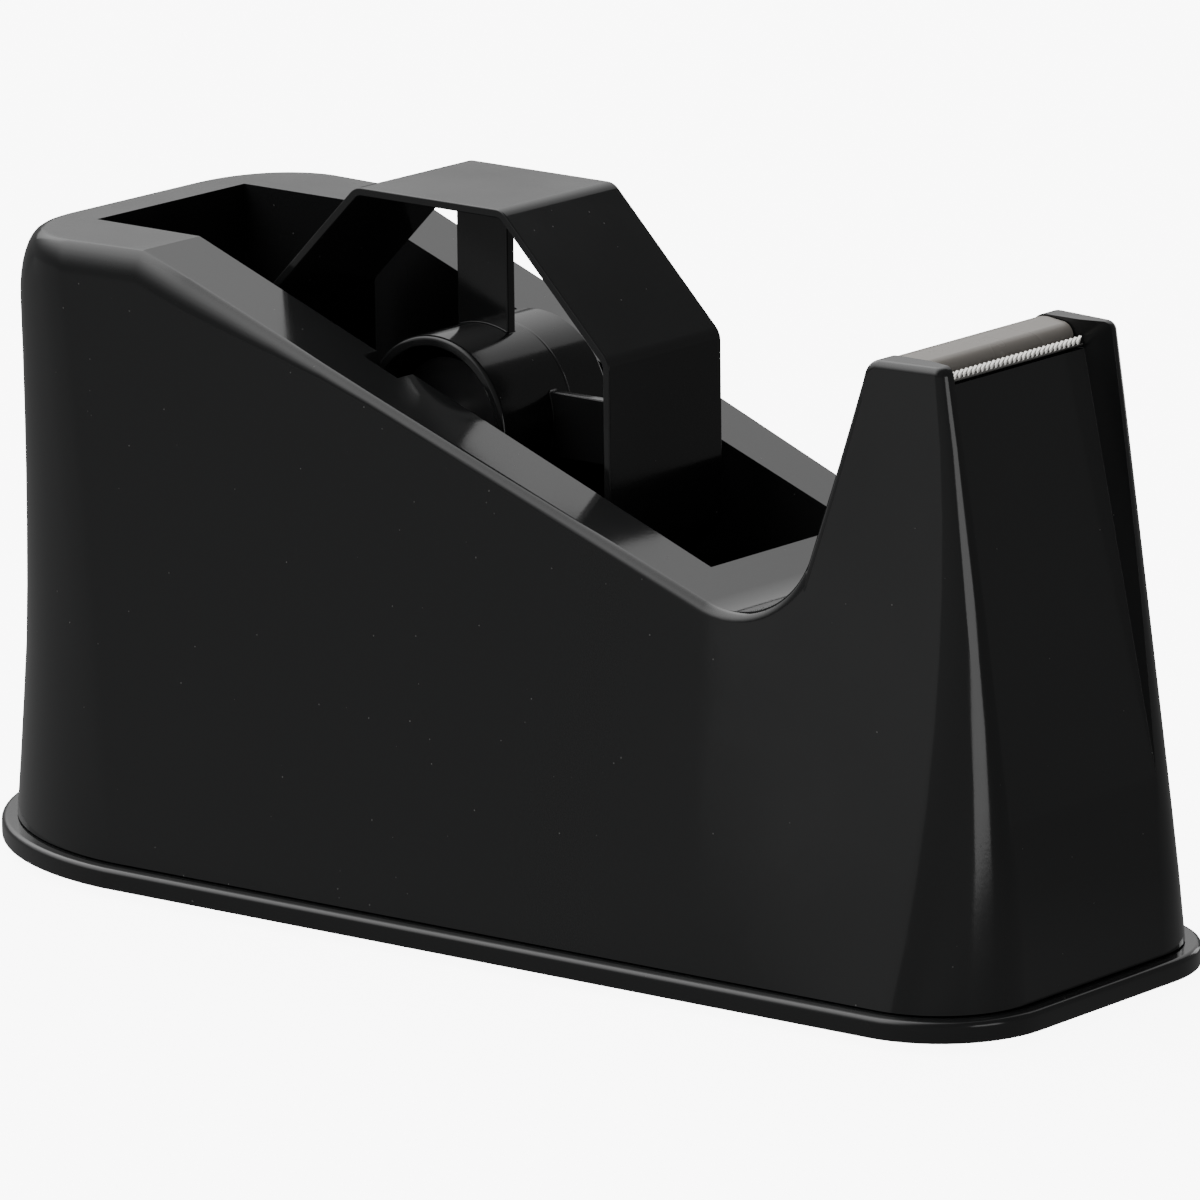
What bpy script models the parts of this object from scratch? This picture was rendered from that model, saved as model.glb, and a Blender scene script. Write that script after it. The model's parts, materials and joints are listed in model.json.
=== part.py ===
"""Weighted desktop tape dispenser for wide tape on 76 mm cores.

Frame: +X points to the cutter, +Y to the far long side, +Z up, in metres. The origin is on the surface
that the dispenser stands on, at the middle of the foot flange's length and width.
"""

import math

import bmesh
import bpy
from mathutils import Matrix, Vector

# ---- driving dimensions -------------------------------------------------------------------------
GAP = 0.0003  # clearance between pieces that touch

FOOT_HEIGHT = 0.0020
FOOT_RADIUS = 0.0065
FOOT_RECESS = 0.0008
PLATE_BOTTOM = 0.0015
FLANGE_TOP = 0.0048
FLANGE_WIDTH = 0.0025  # how far the foot flange stands out from the body
PLINTH_TOP = 0.0080

BODY_BOTTOM = FLANGE_TOP + GAP
BODY_REAR_X = -0.1007
BODY_FRONT_X = 0.1006
BODY_HALF_WIDTH = 0.0368  # at X = 0, at the bottom
BODY_TAPER = 0.0515  # half width lost for each unit of +X
SIDE_LEAN = 0.2118  # how fast the sides lean in at the bottom of the front
SIDE_HOLLOW = 0.985  # and how that lean eases off with height, per metre
REAR_LEAN = 0.0903
REAR_CORNER_LOW = 0.0430
REAR_CORNER_HIGH = 0.0195
FRONT_CORNER_LOW = 0.0160
FRONT_CORNER_HIGH = 0.0020
WALL = 0.0026

PLATEAU_Z = 0.0992
CREASE_X = -0.0580
SLOPE = math.radians(20.35)
SHOULDER_DROP = 0.0170  # height of the soft rounding at the top of the rear
SHOULDER_INSET = 0.0068
SIDE_SHOULDER = 0.0008

NECK_FOOT_X = 0.0625  # where the slope and the neck's back would meet
NECK_LEAN = math.radians(16.8)
NECK_FILLET = 0.0137
CHEEK_TOP_Z = 0.0988
CHEEK_TOP_FRONT_X = 0.0890
CHEEK_INNER_Y = 0.0170

PANEL_TOP_X = 0.0849
PANEL_TOP_Z = 0.0948
PANEL_FOOT_X = 0.0985
PANEL_FOOT_Z = 0.0310
RECESS_DRAFT = 0.25  # how fast the recess's sides open towards the front
SHELF_Z = 0.0946  # top of the neck between the cheeks, under the blade

WELL_REAR_X = -0.0792
WELL_FRONT_X = 0.0423
WELL_HALF = 0.0170
WELL_FLOOR_Z = 0.0145
WELL_WALL = 0.0024

AXLE_X = -0.0152
AXLE_Z = 0.0746
AXLE_RADIUS = 0.0025
SLOT_HALF = 0.0029
SLOT_DEPTH = 0.0030
SLOT_BOSS_HALF = 0.0075
SLOT_BOSS_DEPTH = 0.0030

REEL_FLATS = 0.0702
REEL_WIDTH = 0.0264
REEL_CORNER = 0.0030
BAND = 0.0013
SPOKE_WIDTH = 0.0100
SPOKE_THICK = 0.0018
TUBE_RADIUS = 0.01385
TUBE_BORE = 0.0102
TUBE_HALF = 0.0125
BUSH_OUTER_Y = 0.0085
BUSH_INNER_Y = 0.0045

BLADE_THICK = 0.0006
BLADE_HALF = CHEEK_INNER_Y - GAP
BLADE_TANG_X = 0.0770  # rear edge of the blade's flat tang
TEETH = 32
TOOTH_HEIGHT = 0.0009
TOOTH_TIP_Z = 0.0965
CAP_BOSS_RADIUS = 0.0022
CAP_BOSS_Y = 0.0105
CAP_BOSS_X = 0.0795
CAP_SCREW_RADIUS = 0.0010
CAP_SCREW_HEAD_RADIUS = 0.0022

SCREW_HEAD_RADIUS = 0.0034
SCREW_RADIUS = 0.0017
BOSS_RADIUS = 0.0040
BOSS_TOP = 0.0300
SCREW_X = (-0.070, 0.000, 0.066)
FOOT_X = (-0.062, 0.078)
FOOT_Y = (0.024, 0.019)

BLACK_PLASTIC = (0.020, 0.021, 0.022, 1.0)
STEEL = (0.62, 0.62, 0.61, 1.0)
RUBBER = (0.012, 0.012, 0.012, 1.0)
CAST = (0.10, 0.10, 0.10, 1.0)


# ---- scene helpers ------------------------------------------------------------------------------
def clear_scene():
    for item in list(bpy.data.objects):
        bpy.data.objects.remove(item, do_unlink=True)


def make_collection(name):
    collection = bpy.data.collections.new(name)
    bpy.context.scene.collection.children.link(collection)
    return collection


def make_material(name, colour, roughness, metallic=0.0):
    material = bpy.data.materials.new(name)
    material.use_nodes = True
    shader = material.node_tree.nodes["Principled BSDF"]
    shader.inputs["Base Color"].default_value = colour
    shader.inputs["Roughness"].default_value = roughness
    shader.inputs["Metallic"].default_value = metallic
    return material


clear_scene()
PARTS = make_collection("tape_dispenser")
CUTTERS = make_collection("cutters")


def add_object(name, mesh, material=None):
    """Adds a part, or a cutter when it has no material."""
    item = bpy.data.objects.new(name, mesh)
    if material is None:
        CUTTERS.objects.link(item)
        item.hide_render = True
        item.display_type = "WIRE"
    else:
        PARTS.objects.link(item)
        mesh.materials.append(material)
    return item


def boolean(item, other, operation="DIFFERENCE"):
    modifier = item.modifiers.new(other.name, "BOOLEAN")
    modifier.object = other
    modifier.operation = operation
    modifier.solver = "EXACT"


def box(name, low, high, material=None):
    mesh = bpy.data.meshes.new(name)
    shape = bmesh.new()
    bmesh.ops.create_cube(shape, size=1.0)
    size = [b - a for a, b in zip(low, high)]
    centre = [(a + b) / 2 for a, b in zip(low, high)]
    bmesh.ops.scale(shape, vec=size, verts=shape.verts)
    bmesh.ops.translate(shape, vec=centre, verts=shape.verts)
    shape.to_mesh(mesh)
    shape.free()
    return add_object(name, mesh, material)


def cylinder(name, radius, start, end, material=None, segments=32):
    """A closed cylinder between two points."""
    start, end = Vector(start), Vector(end)
    mesh = bpy.data.meshes.new(name)
    shape = bmesh.new()
    length = (end - start).length
    bmesh.ops.create_cone(shape, cap_ends=True, segments=segments, radius1=radius, radius2=radius,
                          depth=length)
    turn = (end - start).to_track_quat("Z", "Y").to_matrix().to_4x4()
    bmesh.ops.transform(shape, matrix=Matrix.Translation((start + end) / 2) @ turn, verts=shape.verts)
    shape.to_mesh(mesh)
    shape.free()
    return add_object(name, mesh, material)


def prism(name, outline, y_low, y_high, material=None):
    """A plate whose outline is a list of (x, z), between two values of Y."""
    curve = bpy.data.curves.new(name, "CURVE")
    curve.dimensions = "2D"
    curve.fill_mode = "BOTH"
    curve.extrude = (y_high - y_low) / 2
    spline = curve.splines.new("POLY")
    spline.points.add(len(outline) - 1)
    for point, (x, z) in zip(spline.points, outline):
        point.co = (x, z, 0.0, 1.0)
    spline.use_cyclic_u = True
    guide = bpy.data.objects.new(name + "_outline", curve)
    bpy.context.scene.collection.objects.link(guide)
    mesh = bpy.data.meshes.new_from_object(guide.evaluated_get(bpy.context.evaluated_depsgraph_get()))
    bpy.data.objects.remove(guide, do_unlink=True)
    shape = bmesh.new()
    shape.from_mesh(mesh)
    bmesh.ops.remove_doubles(shape, verts=shape.verts, dist=0.00001)
    middle = Matrix.Translation((0.0, (y_low + y_high) / 2, 0.0))
    bmesh.ops.transform(shape, matrix=middle @ Matrix.Rotation(math.pi / 2, 4, "X"), verts=shape.verts)
    bmesh.ops.recalc_face_normals(shape, faces=shape.faces)
    shape.to_mesh(mesh)
    shape.free()
    return add_object(name, mesh, material)


def loft(name, sections, material=None):
    """A closed skin through rings of points that all have the same count, lowest ring first."""
    mesh = bpy.data.meshes.new(name)
    shape = bmesh.new()
    rings = [[shape.verts.new(point) for point in section] for section in sections]
    count = len(rings[0])
    for lower, upper in zip(rings, rings[1:]):
        for i in range(count):
            j = (i + 1) % count
            shape.faces.new((lower[i], lower[j], upper[j], upper[i]))
    shape.faces.new(list(reversed(rings[0])))
    shape.faces.new(rings[-1])
    bmesh.ops.recalc_face_normals(shape, faces=shape.faces)
    shape.to_mesh(mesh)
    shape.free()
    return add_object(name, mesh, material)


def turned(name, profile, place, material, segments=20):
    """A solid of revolution about Z from (radius, z) pairs that run down its outer side."""
    mesh = bpy.data.meshes.new(name)
    mesh.from_pydata([(r, 0.0, z) for r, z in profile], [(i, i + 1) for i in range(len(profile) - 1)], [])
    item = add_object(name, mesh, material)
    item.location = place
    screw = item.modifiers.new("turn", "SCREW")
    screw.steps = segments
    screw.render_steps = segments
    screw.use_merge_vertices = True
    screw.merge_threshold = 0.00001
    return item


def arc(centre, radius, start, end, steps):
    """Points on an arc, angles in radians, both ends included."""
    points = []
    for i in range(steps + 1):
        angle = start + (end - start) * i / steps
        points.append((centre[0] + radius * math.cos(angle), centre[1] + radius * math.sin(angle)))
    return points


# ---- the body's form ----------------------------------------------------------------------------
def side_lean(x, z):
    """How far the side at x has moved in at height z. The neck leans more than the rear."""
    rise = z - BODY_BOTTOM
    share = min(1.0, 0.75 + x + 4.0 * max(0.0, x - 0.049))
    return share * (SIDE_LEAN * rise - SIDE_HOLLOW * rise * rise)


def shoulder(z):
    """0 below the soft rounding at the top of the rear, 1 at the top."""
    rise = min(1.0, max(0.0, (z - PLATEAU_Z + SHOULDER_DROP) / SHOULDER_DROP))
    return 1.0 - math.sqrt(1.0 - rise * rise)


def half_width(x, z):
    soft = SIDE_SHOULDER * min(1.0, max(0.0, (-0.040 - x) / 0.020))
    return BODY_HALF_WIDTH - BODY_TAPER * x - side_lean(x, z) - soft * shoulder(z)


def height_share(z):
    """1 at the bottom of the body, 0 at the top of the cheeks."""
    return max(0.0, (CHEEK_TOP_Z - z) / (CHEEK_TOP_Z - BODY_BOTTOM))


def front_x(z):
    return CHEEK_TOP_FRONT_X + (BODY_FRONT_X - CHEEK_TOP_FRONT_X) * (1.0 - (1.0 - height_share(z)) ** 1.3)


def rear_x(z):
    return BODY_REAR_X + REAR_LEAN * (z - BODY_BOTTOM) + SHOULDER_INSET * shoulder(z)


def body_ring(z, inset=0.0, level=None):
    """The body's plan outline at height z, moved in by inset, as a ring of points at height level."""
    rear, front = rear_x(z) + inset, front_x(z) - inset
    share = height_share(z)
    rear_r = REAR_CORNER_HIGH + (REAR_CORNER_LOW - REAR_CORNER_HIGH) * share
    rear_y = min(rear_r, half_width(rear + rear_r, z) - 0.001) - inset
    rear_r -= inset
    front_r = max(0.0008, FRONT_CORNER_HIGH + (FRONT_CORNER_LOW - FRONT_CORNER_HIGH) * share**1.5 - inset)
    start_x = rear + rear_r
    start_w = half_width(start_x, z) - inset
    end_x = front - front_r
    end_w = half_width(end_x, z) - inset
    half = [(rear, 0.0), (rear, (start_w - rear_y) / 2)]
    for i in range(11):
        angle = math.pi - math.pi / 2 * i / 10
        half.append((start_x + rear_r * math.cos(angle), start_w - rear_y + rear_y * math.sin(angle)))
    for i in range(1, 8):
        x = start_x + (end_x - start_x) * i / 8
        half.append((x, half_width(x, z) - inset))
    for x, y in arc((end_x, end_w - front_r), front_r, math.pi / 2, 0.0, 6):
        half.append((x, y))
    half += [(front, (end_w - front_r) / 2), (front, 0.0)]
    ring = half + [(x, -y) for x, y in reversed(half[1:-1])]
    height = z if level is None else level
    return [(x, y, height) for x, y in ring]


def slope_z(x):
    return PLATEAU_Z - math.tan(SLOPE) * (x - CREASE_X)


def neck_corner():
    """Where the slope meets the neck's back, and the fillet between them."""
    corner = Vector((NECK_FOOT_X, slope_z(NECK_FOOT_X)))
    down_slope = Vector((math.cos(SLOPE), -math.sin(SLOPE)))
    up_neck = Vector((math.sin(NECK_LEAN), math.cos(NECK_LEAN)))
    turn = math.pi / 2 + SLOPE - NECK_LEAN
    reach = NECK_FILLET * math.tan(turn / 2)
    first = corner - down_slope * reach
    centre = first + Vector((math.sin(SLOPE), math.cos(SLOPE))) * NECK_FILLET
    start = -math.pi / 2 - SLOPE
    return corner, up_neck, arc(centre, NECK_FILLET, start, start + turn, 10)


def neck_back_x(z):
    corner, up_neck, _ = neck_corner()
    return corner.x + (z - corner.y) * up_neck.x / up_neck.y


def top_cut(drop=0.0, reach=0.0):
    """Outline of all that lies above the slope, the deck and the neck, lowered by drop."""
    _, _, fillet = neck_corner()
    outline = [(CREASE_X, PLATEAU_Z - drop)]
    outline += [(x + reach, z - drop) for x, z in fillet]
    outline.append((neck_back_x(CHEEK_TOP_Z - 0.0008) + reach, CHEEK_TOP_Z - 0.0008 - drop))
    outline.append((neck_back_x(CHEEK_TOP_Z) + 0.0006 + reach, CHEEK_TOP_Z - drop))
    outline.append((0.110, CHEEK_TOP_Z - drop))
    outline += [(0.110, 0.120), (-0.120, 0.120), (-0.120, PLATEAU_Z - drop)]
    return outline


def panel_x(z):
    """The front panel's face."""
    return PANEL_FOOT_X + (z - PANEL_FOOT_Z) * (PANEL_TOP_X - PANEL_FOOT_X) / (PANEL_TOP_Z - PANEL_FOOT_Z)


def wedge(name, half, z_low, z_high, back, draft=0.0):
    """A cutter in front of the panel's face moved by back. Its sides open towards the front by draft."""
    sections = []
    for z in (z_low, z_high):
        x = panel_x(z) + back
        wide = half + draft * (0.130 - x)
        sections.append([(x, -half, z), (0.130, -wide, z), (0.130, wide, z), (x, half, z)])
    return loft(name, sections)


# ---- materials ----------------------------------------------------------------------------------
housing_black = make_material("housing_black", BLACK_PLASTIC, 0.28)
cover_black = make_material("cover_black", BLACK_PLASTIC, 0.35)
reel_black = make_material("reel_black", BLACK_PLASTIC, 0.30)
carrier_black = make_material("carrier_black", BLACK_PLASTIC, 0.25)
blade_steel = make_material("blade_steel", STEEL, 0.28, 1.0)
axle_steel = make_material("axle_steel", STEEL, 0.25, 1.0)
screw_steel = make_material("screw_steel", STEEL, 0.35, 1.0)
ballast_iron = make_material("ballast_iron", CAST, 0.60, 0.6)
foot_rubber = make_material("foot_rubber", RUBBER, 0.85)
bush_nylon = make_material("bush_nylon", (0.030, 0.030, 0.031, 1.0), 0.45)


# ---- sub-parts ----------------------------------------------------------------------------------
def screw_place(x, side):
    return x, side * (half_width(x, BOSS_TOP) - BOSS_RADIUS - 0.0008)


def slot_cutter(side):
    """A slot square to the slope, from the rim down to the axle's seat."""
    lean = Matrix.Rotation(-SLOPE, 4, "Y")
    seat = Matrix.Translation((AXLE_X, 0.0, AXLE_Z))
    y = side * (WELL_HALF + SLOT_DEPTH / 2)
    item = box(f"slot_{side}", (-SLOT_HALF, y - SLOT_DEPTH / 2 - 0.0005, -AXLE_RADIUS - GAP),
               (SLOT_HALF, y + SLOT_DEPTH / 2 + 0.0005, 0.030))
    item.data.transform(seat @ lean)
    return item


def make_cavity():
    levels = [BODY_BOTTOM - 0.002, 0.012, 0.030, 0.050, 0.068, 0.080, 0.088, 0.093, PLATEAU_Z - WALL]
    cavity = loft("cavity", [body_ring(max(z, BODY_BOTTOM), WALL, z) for z in levels])
    boolean(cavity, prism("cavity_roof", top_cut(WALL, WALL), -0.06, 0.06))
    boolean(cavity, wedge("cavity_front", 0.050, PANEL_FOOT_Z - 0.010, 0.120, -WALL))
    boolean(cavity, box("cavity_shelf", (0.050, -0.05, SHELF_Z - WALL), (0.12, 0.05, 0.12)))
    half = WELL_HALF + WELL_WALL
    boolean(cavity, box("well_walls", (WELL_REAR_X - WELL_WALL, -half, WELL_FLOOR_Z - WELL_WALL),
                        (WELL_FRONT_X + WELL_WALL, half, 0.12)))
    for side in (-1, 1):
        ends = sorted((side * WELL_HALF, side * (half + SLOT_BOSS_DEPTH)))
        boolean(cavity, box(f"slot_boss_{side}", (AXLE_X - SLOT_BOSS_HALF - 0.003, ends[0], 0.060),
                            (AXLE_X + SLOT_BOSS_HALF, ends[1], 0.12)))
        for i, x in enumerate(SCREW_X):
            place = screw_place(x, side)
            boolean(cavity, cylinder(f"boss_{side}_{i}", BOSS_RADIUS, (*place, PLINTH_TOP + GAP),
                                     (*place, BOSS_TOP), segments=16))
    return cavity


def make_housing():
    levels = [BODY_BOTTOM, 0.012, 0.020, 0.030, 0.042, 0.055, 0.068, 0.0785, 0.0835, 0.088, 0.092, 0.0955,
              0.0978, PLATEAU_Z]
    housing = loft("housing", [body_ring(z) for z in levels], housing_black)
    boolean(housing, prism("above", top_cut(), -0.06, 0.06))
    boolean(housing, box("well", (WELL_REAR_X, -WELL_HALF, WELL_FLOOR_Z), (WELL_FRONT_X, WELL_HALF, 0.12)))
    boolean(housing, wedge("recess", CHEEK_INNER_Y, PANEL_FOOT_Z, 0.110, 0.0, RECESS_DRAFT))
    boolean(housing, box("cheek_gap", (0.060, -CHEEK_INNER_Y, SHELF_Z), (0.110, CHEEK_INNER_Y, 0.12)))
    for side in (-1, 1):
        place = (CAP_BOSS_X, side * CAP_BOSS_Y)
        boolean(housing, cylinder(f"cap_hole_{side}", CAP_BOSS_RADIUS + GAP, (*place, 0.080),
                                  (*place, 0.100), segments=16))
        boolean(housing, slot_cutter(side))
    boolean(housing, make_cavity())
    for side in (-1, 1):
        for i, x in enumerate(SCREW_X):
            place = screw_place(x, side)
            boolean(housing, cylinder(f"pilot_{side}_{i}", SCREW_RADIUS + GAP, (*place, 0.0),
                                      (*place, 0.0225), segments=16))
    return housing


def make_base_plate():
    flange = [body_ring(BODY_BOTTOM, -FLANGE_WIDTH, z) for z in (PLATE_BOTTOM, FLANGE_TOP)]
    plate = loft("base_plate", flange, cover_black)
    plinth = [body_ring(PLINTH_TOP, WALL + GAP, z) for z in (FLANGE_TOP - 0.001, PLINTH_TOP)]
    boolean(plate, loft("plinth", plinth), "UNION")
    for side in (-1, 1):
        for i, x in enumerate(SCREW_X):
            place = screw_place(x, side)
            boolean(plate, cylinder(f"hole_{side}_{i}", SCREW_RADIUS + GAP, (*place, 0.0),
                                    (*place, 0.012), segments=16))
            boolean(plate, cylinder(f"bore_{side}_{i}", SCREW_HEAD_RADIUS + GAP, (*place, 0.0),
                                    (*place, 0.0045), segments=20))
        for i, (x, y) in enumerate(zip(FOOT_X, FOOT_Y)):
            boolean(plate, cylinder(f"recess_{side}_{i}", FOOT_RADIUS + GAP, (x, side * y, 0.0),
                                    (x, side * y, PLATE_BOTTOM + FOOT_RECESS), segments=24))
    return plate


def make_feet():
    for side, across in ((-1, "near"), (1, "far")):
        for x, y, along in zip(FOOT_X, FOOT_Y, ("rear", "front")):
            cylinder(f"foot_{along}_{across}", FOOT_RADIUS, (x, side * y, 0.0), (x, side * y, FOOT_HEIGHT),
                     foot_rubber, segments=24)


def make_screws():
    profile = [(0.0, 0.0192), (SCREW_RADIUS * 0.4, 0.0192), (SCREW_RADIUS, 0.0165), (SCREW_RADIUS, 0.0042),
               (SCREW_HEAD_RADIUS, 0.0042), (SCREW_HEAD_RADIUS, 0.0026), (SCREW_HEAD_RADIUS - 0.0006, 0.0022),
               (0.0, 0.0022)]
    number = 1
    for side in (-1, 1):
        for x in SCREW_X:
            turned(f"base_screw_{number}", profile, (*screw_place(x, side), 0.0), screw_steel, segments=16)
            number += 1


def make_ballast():
    """Steel weights that fill the hollow beside, under and ahead of the well."""
    low = PLINTH_TOP + GAP
    box("ballast_under_well", (-0.060, -0.0180, low), (0.048, 0.0180, WELL_FLOOR_Z - WELL_WALL - GAP),
        ballast_iron)
    for side, name in ((-1, "ballast_near"), (1, "ballast_far")):
        ends = sorted((side * 0.0200, side * 0.0285))
        box(name, (-0.055, ends[0], low), (-0.010, ends[1], 0.050), ballast_iron)
    box("ballast_front", (0.050, -0.0150, low), (0.0885, 0.0150, 0.040), ballast_iron)


def make_carrier():
    """The rounded cap that the tape runs over. Two bosses under it hold the blade's tang."""
    low = SHELF_Z + GAP + BLADE_THICK + GAP
    end = CHEEK_INNER_Y - GAP
    front = PANEL_TOP_X - BLADE_THICK - GAP - 0.0006
    heel_x = neck_back_x(low) + 0.0004
    crown = [(front, low)] + arc((front - 0.0022, low + 0.0004), 0.0021, 0.0, math.radians(75), 5)
    crown += arc((front - 0.0050, low - 0.0026), 0.0054, math.radians(75), math.radians(120), 4)
    outline = crown + [(heel_x + 0.0006, low + 0.0012), (heel_x, low)]
    carrier = prism("blade_carrier", outline, -end, end, carrier_black)
    for side in (-1, 1):
        place = (CAP_BOSS_X, side * CAP_BOSS_Y)
        boolean(carrier, cylinder(f"cap_boss_{side}", CAP_BOSS_RADIUS, (*place, SHELF_Z - 0.0020),
                                  (*place, low + 0.0005), segments=16), "UNION")
        boolean(carrier, cylinder(f"cap_pilot_{side}", CAP_SCREW_RADIUS + GAP, (*place, 0.085),
                                  (*place, low + 0.0010), segments=12))
    return carrier


def make_cap_screws():
    """Two short screws that come up from the hollow neck into the cap's bosses."""
    seat = SHELF_Z - WALL - GAP
    stem, head = CAP_SCREW_RADIUS, CAP_SCREW_HEAD_RADIUS
    profile = [(0.0, seat + 0.0040), (stem * 0.5, seat + 0.0040), (stem, seat + 0.0034), (stem, seat),
               (head, seat), (head, seat - 0.0010), (head - 0.0005, seat - 0.0014), (0.0, seat - 0.0014)]
    for side, name in ((-1, "cap_screw_near"), (1, "cap_screw_far")):
        turned(name, profile, (CAP_BOSS_X, side * CAP_BOSS_Y, 0.0), screw_steel, segments=16)


def make_blade():
    """A bent strip: a flat tang under the cap, and an upright lip with teeth at the front."""
    low, high = SHELF_Z + GAP, TOOTH_TIP_Z + 0.0005
    front = PANEL_TOP_X + 0.0001
    back = front - BLADE_THICK
    outline = [(BLADE_TANG_X, low), (front, low), (front, high), (back, high), (back, low + BLADE_THICK),
               (BLADE_TANG_X, low + BLADE_THICK)]
    blade = prism("blade", outline, -BLADE_HALF, BLADE_HALF, blade_steel)
    pitch = 2 * BLADE_HALF / TEETH
    valley = TOOTH_TIP_Z - TOOTH_HEIGHT
    edge = BLADE_HALF + pitch / 2
    above = [(-edge, high + 0.001), (edge, high + 0.001), (edge, TOOTH_TIP_Z)]
    for i in range(TEETH):
        right = BLADE_HALF - i * pitch
        above += [(right, valley), (right - pitch / 2, TOOTH_TIP_Z)]
    above += [(-BLADE_HALF, valley), (-edge, TOOTH_TIP_Z)]
    gaps = prism("tooth_gaps", above, -0.002, 0.002)
    gaps.data.transform(Matrix.Translation((back, 0.0, 0.0)) @ Matrix.Rotation(math.pi / 2, 4, "Z"))
    boolean(blade, gaps)
    for side in (-1, 1):
        place = (CAP_BOSS_X, side * CAP_BOSS_Y)
        boolean(blade, cylinder(f"tang_hole_{side}", CAP_BOSS_RADIUS + GAP, (*place, 0.085), (*place, 0.105),
                                segments=16))
    return blade


def octagon(flats, corner):
    """An octagon with flats up and down, its corners rounded, centred on the axle."""
    points = []
    across = flats / 2 / math.cos(math.pi / 8)
    centre_r = across - corner / math.cos(math.pi / 8)
    for k in range(8):
        middle = math.pi / 8 + k * math.pi / 4
        centre = (AXLE_X + centre_r * math.cos(middle), AXLE_Z + centre_r * math.sin(middle))
        points += arc(centre, corner, middle - math.pi / 8, middle + math.pi / 8, 3)
    return points


def make_reel():
    half = REEL_WIDTH / 2
    reel = prism("reel", octagon(REEL_FLATS, REEL_CORNER), -half, half, reel_black)
    inner = octagon(REEL_FLATS - 2 * BAND, REEL_CORNER - BAND)
    boolean(reel, prism("reel_inside", inner, -half - 0.001, half + 0.001))
    reach = REEL_FLATS / 2 - BAND / 2
    wide, thick = SPOKE_WIDTH / 2, SPOKE_THICK / 2
    boolean(reel, box("spokes_upright", (AXLE_X - wide, -thick, AXLE_Z - reach),
                      (AXLE_X + wide, thick, AXLE_Z + reach)), "UNION")
    boolean(reel, box("spokes_level", (AXLE_X - reach, -thick, AXLE_Z - wide),
                      (AXLE_X + reach, thick, AXLE_Z + wide)), "UNION")
    boolean(reel, cylinder("tube", TUBE_RADIUS, (AXLE_X, -TUBE_HALF, AXLE_Z), (AXLE_X, TUBE_HALF, AXLE_Z),
                           segments=48), "UNION")
    boolean(reel, cylinder("tube_bore", TUBE_BORE, (AXLE_X, -0.02, AXLE_Z), (AXLE_X, 0.02, AXLE_Z),
                           segments=40))
    return reel


def make_axle_and_bushes():
    reach = WELL_HALF + SLOT_DEPTH - GAP
    cylinder("axle_pin", AXLE_RADIUS, (AXLE_X, -reach, AXLE_Z), (AXLE_X, reach, AXLE_Z), axle_steel,
             segments=24)
    for side, name in ((-1, "bush_near"), (1, "bush_far")):
        ends = (side * BUSH_INNER_Y, side * BUSH_OUTER_Y)
        bush = cylinder(name, TUBE_BORE - GAP, (AXLE_X, ends[0], AXLE_Z), (AXLE_X, ends[1], AXLE_Z),
                        bush_nylon, segments=40)
        boolean(bush, cylinder(name + "_bore", AXLE_RADIUS + 0.00005, (AXLE_X, -0.02, AXLE_Z),
                               (AXLE_X, 0.02, AXLE_Z), segments=24))


make_housing()
make_base_plate()
make_feet()
make_screws()
make_ballast()
make_carrier()
make_cap_screws()
make_blade()
make_reel()
make_axle_and_bushes()
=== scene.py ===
"""Looks of a weighted desktop tape dispenser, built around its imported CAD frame.

Metres, +X to the cutter, +Y to the far long side, +Z up. The body, base, reel, cap, blade and feet are
rebuilt here as fine shapes on the CAD model's dimensions. The other CAD pieces keep their shape.
"""

import json
import math

import bmesh
import bpy
from mathutils import Matrix, Vector


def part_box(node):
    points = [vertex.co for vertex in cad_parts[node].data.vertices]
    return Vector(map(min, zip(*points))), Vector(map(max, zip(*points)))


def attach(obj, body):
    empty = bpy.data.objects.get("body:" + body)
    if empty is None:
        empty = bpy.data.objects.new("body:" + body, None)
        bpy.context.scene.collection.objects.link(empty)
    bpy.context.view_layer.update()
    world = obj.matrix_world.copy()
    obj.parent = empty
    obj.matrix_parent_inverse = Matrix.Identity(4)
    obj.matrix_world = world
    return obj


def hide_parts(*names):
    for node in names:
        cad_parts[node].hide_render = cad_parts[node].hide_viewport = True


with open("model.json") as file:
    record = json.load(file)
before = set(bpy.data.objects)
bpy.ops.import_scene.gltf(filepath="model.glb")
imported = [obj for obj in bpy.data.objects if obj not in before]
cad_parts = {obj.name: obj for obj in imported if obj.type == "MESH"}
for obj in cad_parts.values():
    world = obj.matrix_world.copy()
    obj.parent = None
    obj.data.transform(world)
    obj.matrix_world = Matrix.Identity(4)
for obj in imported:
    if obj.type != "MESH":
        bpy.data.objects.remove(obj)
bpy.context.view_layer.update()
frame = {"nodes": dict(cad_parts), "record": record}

# ---- driving dimensions, the same as the CAD model's but for the cheeks' inner faces ----------------
GAP = 0.0003  # between pieces that touch
PLATE_BOTTOM = 0.0015
FLANGE_TOP = 0.0048
FLANGE_WIDTH = 0.0025
PLINTH_TOP = 0.0080
BODY_BOTTOM = FLANGE_TOP + GAP
BODY_REAR_X = -0.1007
BODY_FRONT_X = 0.1006
BODY_HALF_WIDTH = 0.0368
BODY_TAPER = 0.0515
SIDE_LEAN = 0.2118
SIDE_HOLLOW = 0.985
LEAN_SHARE = 0.75  # how much of the lean the sides have at X 0
REAR_LEAN = 0.0903
REAR_CORNER_LOW = 0.0425
REAR_CORNER_HIGH = 0.0195
FRONT_CORNER_LOW = 0.0160
FRONT_CORNER_HIGH = 0.0020
WALL = 0.0026
PLATEAU_Z = 0.0992
CREASE_X = -0.0580
SLOPE = math.radians(20.35)
NECK_FOOT_X = 0.0625
NECK_LEAN = math.radians(16.8)
NECK_FILLET = 0.0137
CHEEK_TOP_Z = 0.0988
CHEEK_TOP_FRONT_X = 0.0890
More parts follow.
